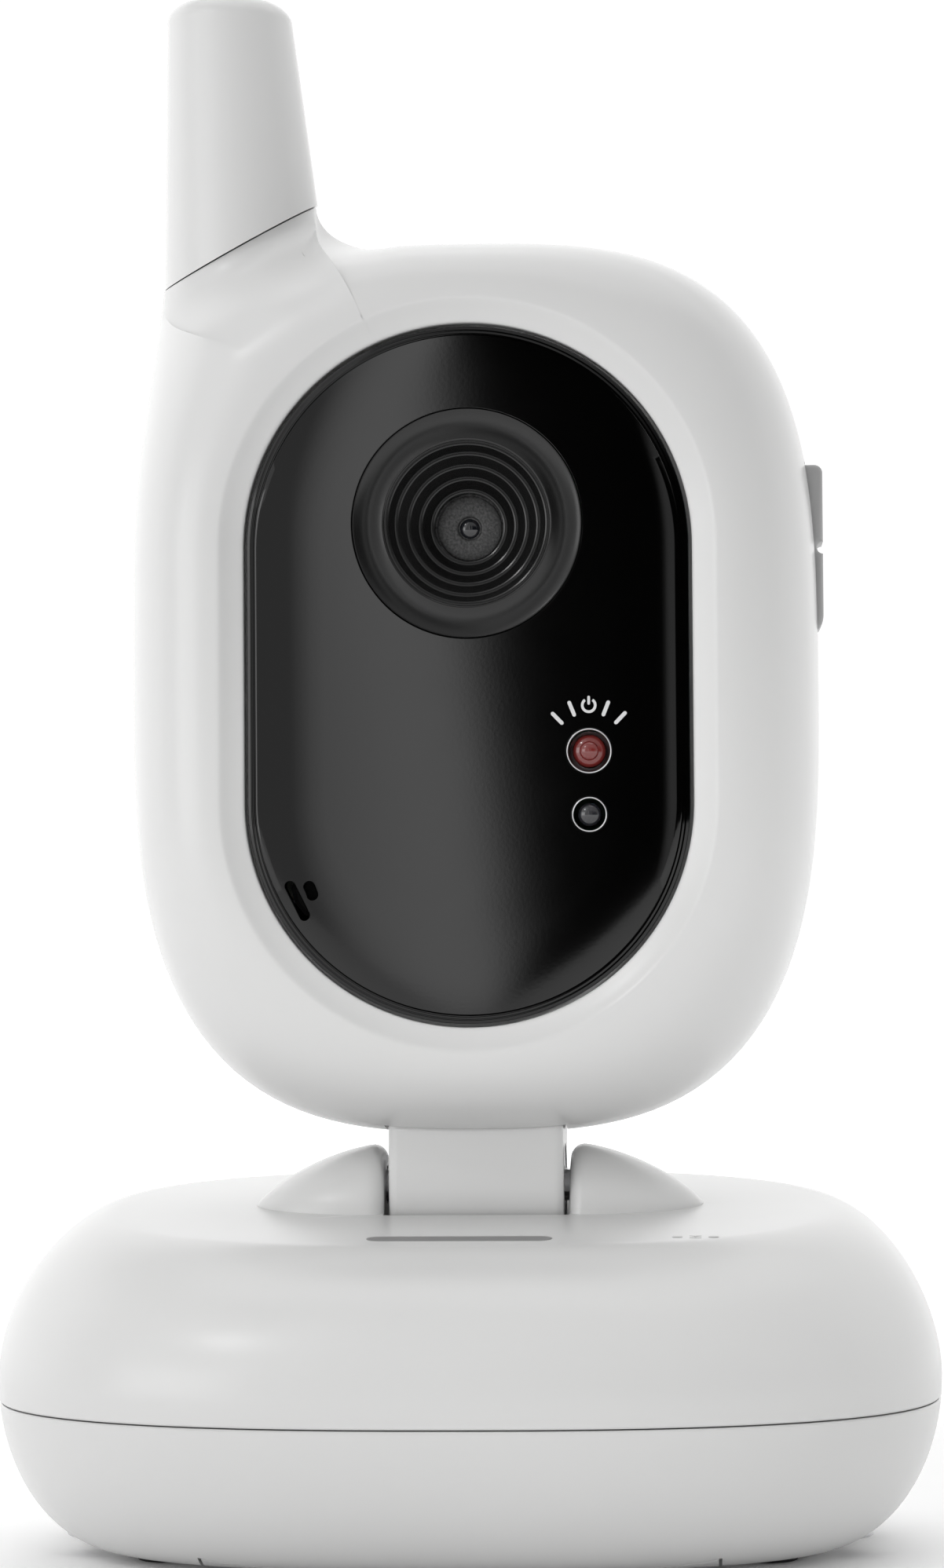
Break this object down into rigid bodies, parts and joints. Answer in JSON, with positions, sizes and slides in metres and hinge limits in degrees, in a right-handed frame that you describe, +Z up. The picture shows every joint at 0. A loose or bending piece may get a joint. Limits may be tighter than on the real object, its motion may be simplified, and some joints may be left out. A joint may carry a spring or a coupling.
{
  "type": "baby monitor camera",
  "caption": "Baby monitor camera: an upright rounded head with a stub antenna, a dark oval window and a round lens, tilting on a low oval battery base.",
  "frame": {"origin": "on the floor plane under the middle of the base", "axes": "+Z up, -Y the way the lens looks, +X towards the side with the volume rocker"},
  "size_m": [0.0862, 0.065, 0.144],
  "materials": {
    "white_shell": "satin moulded white plastic with a very fine grain",
    "black_window": "satin-gloss black plastic with a fine spark-eroded texture",
    "black_gloss": "polished black plastic",
    "black_matte": "grained matt black plastic",
    "grey_button": "satin mid-grey plastic",
    "red_lens": "clear red epoxy, unlit",
    "dark_lens": "dark smoked epoxy",
    "optical_glass": "coated optical glass",
    "green_board": "glass-fibre board with green solder mask",
    "steel": "plated steel",
    "brass": "plain brass",
    "cell_sleeve": "plain printed sleeve without lettering",
    "black_rubber": "matt moulded rubber"
  },
  "bodies": {
    "base": {"base_lower_shell": "white_shell", "base_screw_1": "steel", "base_screw_2": "steel", "base_screw_3": "steel", "base_screw_4": "steel", "base_upper_shell": "white_shell", "battery_bay": "white_shell", "battery_cell_1": "cell_sleeve", "battery_cell_2": "cell_sleeve", "battery_cell_3": "cell_sleeve", "battery_cell_4": "cell_sleeve", "battery_contact_front_left": "steel", "battery_contact_front_right": "steel", "battery_contact_rear_left": "steel", "battery_contact_rear_middle": "steel", "battery_contact_rear_right": "steel", "battery_door": "white_shell", "battery_door_screw": "steel", "dc_jack": "black_matte", "hinge_clamp_left": "steel", "hinge_clamp_right": "steel", "hinge_pin": "steel", "hinge_screw_left": "steel", "hinge_screw_right": "steel", "power_board": "green_board", "rubber_foot_1": "black_rubber", "rubber_foot_2": "black_rubber", "rubber_foot_3": "black_rubber", "rubber_foot_4": "black_rubber"},
    "head": {"antenna_cap": "white_shell", "antenna_rod": "brass", "button_board": "green_board", "face_window": "black_window", "friction_washer_left": "steel", "friction_washer_right": "steel", "head_front_shell": "white_shell", "head_rear_shell": "white_shell", "head_screw_1": "steel", "head_screw_2": "steel", "head_screw_3": "steel", "head_screw_4": "steel", "image_sensor": "black_matte", "infrared_light_1": "dark_lens", "infrared_light_2": "dark_lens", "infrared_light_3": "dark_lens", "infrared_light_4": "dark_lens", "lens_barrel": "black_matte", "lens_element": "optical_glass", "lens_holder": "black_matte", "lens_hood": "black_gloss", "light_sensor": "dark_lens", "main_board": "green_board", "microphone": "steel", "neck": "white_shell", "power_light": "red_lens", "radio_shield": "steel", "switch_lower": "steel", "switch_upper": "steel"},
    "rocker": {"rocker_button": "grey_button"}
  },
  "joints": [
    {"name": "head_tilt", "type": "hinge", "parent": "base", "child": "head", "pos_m": [0.0008, 0.0013, 0.033], "axis": [1, 0, 0], "range_deg": [-40, 25]},
    {"name": "rocker_press", "type": "hinge", "parent": "head", "child": "rocker", "pos_m": [0.0308, 0.002, 0.0916], "axis": [0, 1, 0], "range_deg": [-3, 3], "stiffness_Nm_per_rad": 0.05}
  ]
}
